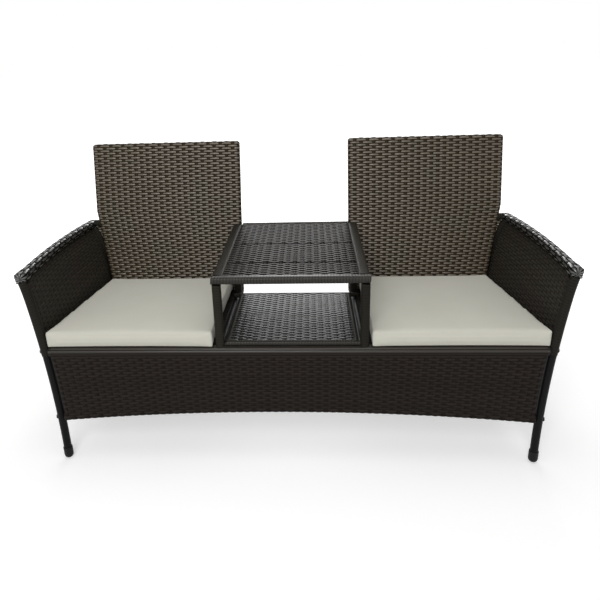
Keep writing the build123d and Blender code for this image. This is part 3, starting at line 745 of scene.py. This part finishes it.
def makeArms():
    armFront = (sofa["armFrontX"], sofa["armFrontY"], armZ)
    armPlace = arcThrough(armFront, sofa["armMiddle"], (*sofa["armRear"], armZ))
    armLine, armLength = curvedLine(armPlace, (0.0, 0.0, 1.0))
    strips = StripMesh(armLook["seed"])
    low = armLook["panelLow"]

    # side panel between the legs, bowed outwards towards the arm
    columns = int(round((rearLegY(armLook["countZ"]) - legY) / weaveLook["column"]))
    rows = int(round((armZ - low) / weaveLook["row"]))
    armGrid = armPlace(np.linspace(0, 1, 60))

    def panel(c, r):
        u = c / columns
        topY = legY + u * (rearLegY(armZ) - legY)
        top = np.interp(topY, armGrid[:, 1], armGrid[:, 2]) - armLook["tuck"]
        z = low + r / rows * (top - low)
        y = legY + u * (rearLegY(z) - legY)
        share = np.maximum(0.0, z - sofa["rearFlareZ"]) / (armZ - sofa["rearFlareZ"])
        bow = sofa["panelBow"] + (sofa["armBow"] - sofa["panelBow"]) * share**2
        x = frontLegX(z) + u * (rearLegAt(z) - frontLegX(z)) + 4 * u * (1 - u) * bow
        return np.stack([x, y, z], axis=-1)

    edge = tubeRadius * armLook["panelEdge"] / weaveLook["column"]
    weave(
        strips, panel, {**weaveLook, **armLook["panelWeave"]},
        spans(0, rows, edge, columns - edge), spans(0, columns, 0.0, float(rows)),
        [(edge, columns - edge, 0.0, rows)],
    )

    # sleeve: strips run along the arm, rings hold them
    around = armLook["sleeveRows"]
    sleeveColumns = int(round(armLength / weaveLook["column"]))
    radius = armLook["sleeveRadius"]

    def sleeve(c, r):
        run = np.clip(c / sleeveColumns, 0.0, 1.0)
        at, _, crossU, crossV = armLine(run)
        ahead, behind = armLook["endRound"]
        nearest = np.minimum(run / ahead, (1 - run) / behind) * armLength
        closing = np.cbrt(1 - np.clip(1 - nearest, 0.0, 1.0) ** 3)
        size = (radius * np.maximum(closing, 0.02))[..., None]
        angle = (r / around * 2 * np.pi)[..., None]
        squaring = np.clip(1 - run * armLength / armLook["squareRun"], 0.0, 1.0)[..., None]
        power = 2 + armLook["squareness"] * squaring**2
        size = size / (np.abs(np.cos(angle)) ** power + np.abs(np.sin(angle)) ** power) ** (1 / power)
        return at + size * (np.cos(angle) * crossU + np.sin(angle) * crossV)

    padding = StripMesh(armLook["seed"] + 1)
    weaveWhole(padding, sleeve, {**weaveLook, "weftSteps": 6}, around, sleeveColumns)
    makePair("arm_sleeve", padding, sleeveRattan, [])

    # legs wound above the seat, and the seat's side rail
    high = armZ - radius
    lowZ = armLook["legWrapLow"]

    def frontLeg(t):
        z = lowZ + t * (high - lowZ)
        return np.stack([frontLegX(z), np.full_like(z, legY), z], axis=-1)

    def rearLeg(t):
        z = lowZ + t * (high - lowZ)
        return np.stack([rearLegAt(z), rearLegY(z), z], axis=-1)

    def sideRail(t):
        y = legY + t * (rearLegY(sofa["seatHeight"]) - legY)
        z = frontRailZ - sofa["seatSlope"] * (y - legY)
        return np.stack([sideX(y, z), y, z], axis=-1)

    # the front leg thickens over its last quarter, into the corner of the arm
    def thicken(share):
        return 1 + armLook["legSwell"] * np.clip(4 * share - 3, 0.0, 1.0) ** 2

    wraps = StripMesh(armLook["seed"] + 3)
    for bar, hint, swell in (
        (frontLeg, (0.0, 1.0, 0.0), thicken),
        (rearLeg, (0.0, 1.0, 0.0), None),
        (sideRail, (0.0, 0.0, 1.0), None),
    ):
        line, length = curvedLine(bar, hint)
        wind(wraps, line, length, roundOutline(armLook["legWrap"]), swell)

    # short bar from the rear end of the arm to the back
    rearX, rearY = sofa["armRear"]
    bridge, length = straightLine(
        (rearX, rearY - armLook["bridgeStart"], armZ),
        (stileX(armZ), backY(armZ), armZ),
        (0.0, 0.0, 1.0),
    )
    wind(wraps, bridge, length, roundOutline(armLook["bridgeRadius"]))
    makePair("arm_woven", strips, panelRattan, ["arm_weave"])
    makePair("arm_wound", wraps, barRattan, [])

    # lacing that carries the weave of the back on to the rear leg
    laceColumns = armLook["laceColumns"]
    laceTop = armZ - armLook["tuck"]
    laceRows = int(round((laceTop - lowZ) / weaveLook["row"]))
    lacing = StripMesh(armLook["seed"] + 2)

    def lace(c, r):
        z = lowZ + r / laceRows * (laceTop - lowZ)
        leg = np.stack([rearLegAt(z), rearLegY(z), z], axis=-1)
        stile = np.stack([stileX(z), backY(z), z], axis=-1)
        return stile + (c / laceColumns)[..., None] * (leg - stile)

    weaveWhole(lacing, lace, {**weaveLook, "weftWidth": armLook["laceWidth"]}, laceRows, laceColumns)
    makePair("back_lacing", lacing, backRattan, [])


makeArms()
print("arms woven")


# Apron: rows follow the arch, go under its rail and over the seat's front rail
apronLook = {
    "legGap": 0.0025,
    "railRadius": 0.0134,
    "lowRadius": 0.0086,
    "bottomTurn": 160.0,     # degrees under the arched rail
    "topTurn": 200.0,        # degrees over the front rail
    "endTurn": 0.012,        # radius of the turned ends
    "endRows": ((1.0, 1.5), (0.9, 0.8)),    # at each rail: rows left straight, rows to a full turn
    "seed": 31,
}


def makeApron():
    archLow, archHigh = boxOf("apron_rail")
    lightRadius = (archHigh[1] - archLow[1]) / 2
    topZ = archHigh[2] - lightRadius
    half = archHigh[0]
    endZ = archLow[2] + lightRadius
    columns = int(round(2 * half / weaveLook["column"]))
    rows = int(round((frontRailZ - (topZ + endZ) / 2) / weaveLook["row"]))
    around = apronLook["railRadius"]
    under = apronLook["lowRadius"]
    bend = (around + under) / 2
    bottomRows = int(round(math.radians(apronLook["bottomTurn"]) * bend / weaveLook["row"]))
    topRows = int(round(math.radians(apronLook["topTurn"]) * around / weaveLook["row"]))

    def surface(c, r):
        flat = np.clip(r, 0, rows) / rows
        reach = frontLegX(endZ + flat * (frontRailZ - endZ)) - tubeRadius - apronLook["legGap"]
        x = (c / columns * 2 - 1) * reach
        low = topZ - (topZ - endZ) * (x / half) ** 2
        below = np.clip(-r, 0, None) * weaveLook["row"] / bend
        over = np.clip(r - rows, 0, None) * weaveLook["row"] / around
        y = legY - around * np.cos(below) * np.cos(over)
        # between the rails the ends turn in beside the legs
        turn = apronLook["endTurn"]
        nearEnd = np.clip((np.abs(x) - reach + turn) / turn, 0.0, 1.0)
        (lowerClear, lowerEase), (upperClear, upperEase) = apronLook["endRows"]
        free = np.clip((r - lowerClear) / lowerEase, 0.0, 1.0)
        free = free * np.clip((rows - upperClear - r) / upperEase, 0.0, 1.0)
        y = y + turn * free * (1.0 - np.sqrt(1.0 - nearEnd**2))
        z = low + flat * (frontRailZ - low) - under * np.sin(below) + around * np.sin(over)
        return np.stack([x, y, z], axis=-1)

    # the wefts lie flat on the front rail
    def calm(r):
        return np.clip(rows - 1.0 - r, 0.0, 1.0)

    strips = StripMesh(apronLook["seed"])
    weave(
        strips, surface, {**weaveLook, "weftSteps": 3},
        spans(-bottomRows, rows, 0.0, float(columns)),
        spans(0, columns, -float(bottomRows), float(rows + topRows)),
        [(0.0, columns, -bottomRows, rows + topRows)], calm,
    )
    makePiece("apron_woven", strips.arrays(), rattan, ["apron_weave"])

    # smooth strips laid along the seat's front rail
    strips = StripMesh(apronLook["seed"] + 1)
    weave(
        strips, surface, {**weaveLook, "weftSteps": 2},
        spans(rows, rows + topRows, 0.0, float(columns)), [], [], calm,
    )
    makePiece("front_rail_wrap", strips.arrays(), railRattan, [])


makeApron()
print("apron woven")


# Flat decks: seats, table field and shelf
deckLook = {
    "seatEdge": 0.004,
    "seatDrop": 0.003,
    "tableLap": 0.0035,      # the field runs this far over the rounded edges of the rails
    "tableGaps": (-0.174, -0.016),     # open rows at these depths
    "tableSplit": (-0.065, 0.004),     # warps drawn apart here, by this much
    "seed": 47,
}


def deckCounts(low, high):
    rows = int(round((high[1] - low[1]) / weaveLook["row"]))
    columns = int(round((high[0] - low[0]) / weaveLook["column"]))
    return rows, columns


def makeSeats():
    low, high = boxOf("right_seat_weave")
    strips = StripMesh(deckLook["seed"])
    rows, columns = deckCounts(low, high)

    def surface(c, r):
        y = low[1] + r / rows * (high[1] - low[1])
        z = seatZ(y) - deckLook["seatDrop"]
        right = sideX(y, z) - deckLook["seatEdge"]
        x = low[0] + c / columns * (right - low[0])
        return np.stack([x, y, z], axis=-1)

    weaveWhole(strips, surface, {**weaveLook, "weftSteps": 3}, rows, columns)
    makePair("seat_woven", strips, rattan, ["seat_weave"])


def makeTableField():
    low, high = boxOf("table_top_weave")
    top = high[2] - weaveLook["weftLift"] - weaveLook["thick"] / 2
    low = low - deckLook["tableLap"]
    high = high + deckLook["tableLap"]
    strips = StripMesh(deckLook["seed"] + 1)
    rows, columns = deckCounts(low, high)

    def surface(c, r):
        y = low[1] + r / rows * (high[1] - low[1])
        x = low[0] + c / columns * (high[0] - low[0])
        middle, gap = deckLook["tableSplit"]
        off = (x - middle) / (2 * weaveLook["column"])
        x = x + gap * np.tanh(off * 4) * np.exp(-off**2)
        return np.stack([x, y, np.full_like(x, top)], axis=-1)

    gaps = [int((depth - low[1]) / (high[1] - low[1]) * rows) for depth in deckLook["tableGaps"]]
    weave(
        strips, surface, weaveLook,
        [row for row in spans(0, rows, 0.0, float(columns)) if row[0] not in gaps],
        spans(0, columns, 0.0, float(rows)),
        [(0.0, columns, 0.0, rows)],
    )
    makePiece("table_top_woven", strips.arrays(), deckRattan, ["table_top_weave"])


def makeShelfField():
    low, high = boxOf("shelf_weave")
    strips = StripMesh(deckLook["seed"] + 2)
    rows, columns = deckCounts(low, high)
    rise = high[2] - seatZ(low[1]) - weaveLook["weftLift"] - weaveLook["thick"] / 2

    def surface(c, r):
        y = low[1] + r / rows * (high[1] - low[1])
        x = low[0] + c / columns * (high[0] - low[0])
        return np.stack([x, y, seatZ(y) + rise], axis=-1)

    weaveWhole(strips, surface, weaveLook, rows, columns)
    makePiece("shelf_woven", strips.arrays(), paintedReflectionShelfRattan, ["shelf_weave"])


makeSeats()
makeTableField()
makeShelfField()
print("decks woven")


# Wound bars of the table and its shelf, each in the place of its tube
barLook = {"corner": 0.70, "seed": 61}    # corner as a share of half the bar


def makeBar(node, line, length, outline, finish):
    strips = StripMesh(barLook["seed"] + len(node))
    wind(strips, line, length, outline)
    makePiece(node + "_wound", strips.arrays(), finish, [node])


def makeBoxBar(node, axis, finish):
    low, high = boxOf(node)
    middle = (low + high) / 2
    start, end = middle.copy(), middle.copy()
    start[axis], end[axis] = low[axis], high[axis]
    cross = [k for k in range(3) if k != axis]
    crossU = np.zeros(3)
    crossU[cross[0]] = 1.0
    line, length = straightLine(start, end, crossU)
    skin = windLook["thick"]
    size = high - low
    corner = barLook["corner"] * min(size[cross[0]], size[cross[1]]) / 2
    outline = boxOutline(size[cross[0]] - skin, size[cross[1]] - skin, corner)
    makeBar(node, line, length, outline, finish)


def makeRoundBar(node, start, end, radius, finish):
    line, length = straightLine(start, end, (0.0, 0.0, 1.0))
    makeBar(node, line, length, roundOutline(radius - windLook["thick"] / 2), finish)


def makeBars():
    makeBoxBar("table_front_rail", 0, edgeRattan)
    makeBoxBar("table_rear_rail", 0, barRattan)
    for side in ("left", "right"):
        makeBoxBar(side + "_table_side_rail", 1, barRattan)
        makeBoxBar(side + "_table_front_post", 2, barRattan)
        makeBoxBar(side + "_table_rear_post", 2, barRattan)
    for node, finish in (("shelf_front_rail", edgeRattan), ("shelf_rear_rail", barRattan)):
        low, high = boxOf(node)
        middle = (low + high) / 2
        radius = (high[2] - low[2]) / 2
        makeRoundBar(node, (low[0], middle[1], middle[2]), (high[0], middle[1], middle[2]), radius, finish)
    for side in ("left", "right"):
        node = side + "_shelf_side_rail"
        low, high = boxOf(node)
        middle = (low + high) / 2
        radius = (high[0] - low[0]) / 2
        start = (middle[0], low[1], high[2] - radius)
        end = (middle[0], high[1], low[2] + radius)
        makeRoundBar(node, start, end, radius, barRattan)


makeBars()
print("bars wound")


# Cushions: crisp box in the place of the foam, blown up as cloth, set flat on the seat
cushionLook = {
    "voxel": 0.004,
    "rim": 0.044,
    "crown": 0.006,
    "pressure": 4.0,
    "frames": 14,
    "cap": 0.0016,           # furthest that the cloth may move
    "draw": 0.003,           # sides drawn in between the corners
    "drawPower": 9,
    "seatGap": 0.0006,
    "smooth": 0.5,
    "fill": 0.75,
}


def cushionBox(side):
    low, high = boxOf("right_cushion_foam")
    sideGap = sideX(low[1], seatZ(low[1])) - high[0]
    outerRear = sideX(high[1], seatZ(high[1])) - sideGap
    plan = ((low[0], low[1]), (high[0], low[1]), (outerRear, high[1]), (low[0], high[1]))
    sign = 1.0 if side == "right" else -1.0
    points = [(sign * x, y, seatZ(y) + up) for up in (0.0, cushionLook["rim"]) for x, y in plan]
    faces = [(3, 2, 1, 0), (4, 5, 6, 7), (0, 1, 5, 4), (1, 2, 6, 5), (2, 3, 7, 6), (3, 0, 4, 7)]
    mesh = bpy.data.meshes.new(side + "_cushion")
    mesh.from_pydata(points, [], [face if side == "right" else face[::-1] for face in faces])
    return mesh, (low + high) / 2, (high - low) / 2


def makeCushion(side):
    mesh, middle, half = cushionBox(side)
    piece = bpy.data.objects.new(side + "_cushion", mesh)
    scene.collection.objects.link(piece)
    bpy.context.view_layer.objects.active = piece
    piece.select_set(True)
    remesh = piece.modifiers.new("remesh", "REMESH")
    remesh.mode = "VOXEL"
    remesh.voxel_size = cushionLook["voxel"]
    bpy.ops.object.modifier_apply(modifier="remesh")
    count = len(piece.data.vertices)
    before = np.empty(count * 3, np.float32)
    piece.data.vertices.foreach_get("co", before)
    before = before.reshape(-1, 3)
    after = before.copy()
    cloth = piece.modifiers.new("cloth", "CLOTH")
    cloth.settings.use_pressure = True
    cloth.settings.uniform_pressure_force = cushionLook["pressure"]
    cloth.settings.effector_weights.gravity = 0.0
    cloth.point_cache.frame_end = cushionLook["frames"]
    for step in range(1, cushionLook["frames"] + 1):
        scene.frame_set(step)
    shown = piece.evaluated_get(bpy.context.evaluated_depsgraph_get())
    after = np.empty(count * 3, np.float32)
    shown.data.vertices.foreach_get("co", after)
    after = after.reshape(-1, 3)
    piece.modifiers.remove(cloth)
    scene.frame_set(1)
    move = after - before
    size = np.linalg.norm(move, axis=1, keepdims=True)
    move = move * np.minimum(1.0, cushionLook["cap"] / np.maximum(size, 1e-9))
    points = before + move
    floor = seatZ(points[:, 1]) + cushionLook["seatGap"]
    height = np.clip((points[:, 2] - floor) / cushionLook["rim"], 0.0, 1.0)
    u = (points[:, 0] - np.sign(points[:, 0]) * middle[0]) / half[0]
    v = (points[:, 1] - middle[1]) / half[1]
    inX = np.clip(1 - u**2, 0.0, 1.0)
    inY = np.clip(1 - v**2, 0.0, 1.0)
    points[:, 2] = np.maximum(points[:, 2], floor) + cushionLook["crown"] * height * inX * inY
    points[:, 0] -= cushionLook["draw"] * inY * u ** cushionLook["drawPower"]
    points[:, 1] -= cushionLook["draw"] * inX * v ** cushionLook["drawPower"]
    piece.data.vertices.foreach_set("co", points.astype(np.float32).ravel())
    piece.data.polygons.foreach_set("use_smooth", np.ones(len(piece.data.polygons), dtype=bool))
    piece.data.update()
    smooth = piece.modifiers.new("smooth", "SMOOTH")
    smooth.factor = cushionLook["smooth"]
    smooth.iterations = 1
    bpy.ops.object.modifier_apply(modifier="smooth")
    piece.select_set(False)
    piece.data.materials.clear()
    piece.data.materials.append(cushionCloth)
    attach(piece, side + "_cushion")
    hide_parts(side + "_cushion_cover", side + "_cushion_foam")


for side in ("left", "right"):
    makeCushion(side)
print("cushions made")


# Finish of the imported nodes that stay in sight
finishOf = {
    "foot_caps": footPlastic,
    "frame_bolts": boltSteel,
    "saddle_washers": footPlastic,
    "rail_plugs": footPlastic,
}
for name, node in nodes.items():
    if not node.hide_render:
        node.data.materials.clear()
        node.data.materials.append(finishOf.get(name, frameSteel))
print("frame finished")


# Studio: pale floor, white surroundings, soft lamps
studioLook = {
    "floorSize": 60.0,
    "floorColour": (0.86, 0.86, 0.86, 1),
    "floorLift": 0.30,
    "floorFade": (1.1, 2.4),       # metres from the middle, past which the floor is white
    "surround": 0.45,
    "aim": (0.0, 0.0, 0.45),
    "topLamp": (0.0, -0.2, 2.7, 2.2, 12.0),          # place, size and power
    "frontLamp": (-0.4, -2.7, 2.2, 1.6, 42.0),
    "rearLamp": (0.0, 2.6, 1.7, 2.4, 45.0),
}


# What is seen straight, in a reflection or through something clear
def seenRays(tree):
    rays = addNode(tree, "ShaderNodeLightPath")
    seen = mathNode(tree, "MAXIMUM", rays.outputs["Is Camera Ray"], rays.outputs["Is Glossy Ray"])
    return mathNode(tree, "MAXIMUM", seen, rays.outputs["Is Transmission Ray"])


def makeFloor():
    half = studioLook["floorSize"] / 2
    mesh = bpy.data.meshes.new("floor")
    corners = [(-half, -half, 0), (half, -half, 0), (half, half, 0), (-half, half, 0)]
    mesh.from_pydata(corners, [], [(0, 1, 2, 3)])
    floor = bpy.data.objects.new("floor", mesh)
    scene.collection.objects.link(floor)
    material = bpy.data.materials.new("paleFloor")
    material.use_nodes = True
    tree = material.node_tree
    surface = tree.nodes["Principled BSDF"]
    setInputs(surface, {"Base Color": studioLook["floorColour"], "Roughness": 0.9, "Specular IOR Level": 0.1})
    where = addNode(tree, "ShaderNodeTexCoord")
    distance = addNode(tree, "ShaderNodeVectorMath", operation="LENGTH")
    tree.links.new(where.outputs["Object"], distance.inputs[0])
    lift = rampNode(tree, distance.outputs["Value"], *studioLook["floorFade"], studioLook["floorLift"], 1.0)
    surface.inputs["Emission Color"].default_value = (1, 1, 1, 1)
    tree.links.new(mathNode(tree, "MULTIPLY", seenRays(tree), lift), surface.inputs["Emission Strength"])
    mesh.materials.append(material)


def makeWorld():
    world = bpy.data.worlds.new("whiteStudio")
    scene.world = world
    world.use_nodes = True
    tree = world.node_tree
    tree.nodes.clear()
    strength = addNode(tree, "ShaderNodeMapRange")
    setInputs(strength, {"To Min": studioLook["surround"], "To Max": 1.0})
    tree.links.new(seenRays(tree), strength.inputs["Value"])
    light = addNode(tree, "ShaderNodeBackground")
    light.inputs["Color"].default_value = (1, 1, 1, 1)
    tree.links.new(strength.outputs[0], light.inputs["Strength"])
    output = addNode(tree, "ShaderNodeOutputWorld")
    tree.links.new(light.outputs[0], output.inputs["Surface"])


def placeBy(holder, right, upward, back, place):
    rows = [[right[k], upward[k], back[k], place[k]] for k in range(3)]
    holder.matrix_world = Matrix(rows + [[0, 0, 0, 1]])


def makeLamp(name, x, y, z, size, power):
    lamp = bpy.data.lights.new(name, "AREA")
    lamp.shape = "DISK"
    lamp.size = size
    lamp.energy = power
    holder = bpy.data.objects.new(name, lamp)
    scene.collection.objects.link(holder)
    holder.visible_camera = False
    back = unit(np.array([x, y, z]) - np.array(studioLook["aim"]))
    right = unit(np.cross(np.array([0.0, 1e-3, 1.0]), back))
    placeBy(holder, right, np.cross(back, right), back, (x, y, z))


cameraLook = {
    "sensor": 36.0,
    "lens": 34.416,
    "shift": (0.0426, -0.0759),
    "right": (0.99777, 0.05718, -0.03436),
    "upward": (0.01281, 0.34128, 0.93987),
    "back": (0.06547, -0.93822, 0.33979),
    "place": (0.0566, -1.6288, 1.1143),
}


def makeCamera():
    camera = bpy.data.cameras.new("camera")
    camera.sensor_width = cameraLook["sensor"]
    camera.lens = cameraLook["lens"]
    camera.shift_x, camera.shift_y = cameraLook["shift"]
    holder = bpy.data.objects.new("camera", camera)
    scene.collection.objects.link(holder)
    placeBy(holder, *(cameraLook[key] for key in ("right", "upward", "back", "place")))
    scene.camera = holder


makeFloor()
makeWorld()
for name in ("topLamp", "frontLamp", "rearLamp"):
    makeLamp(name, *studioLook[name])
makeCamera()
scene.view_settings.view_transform = "Standard"
print("studio set")
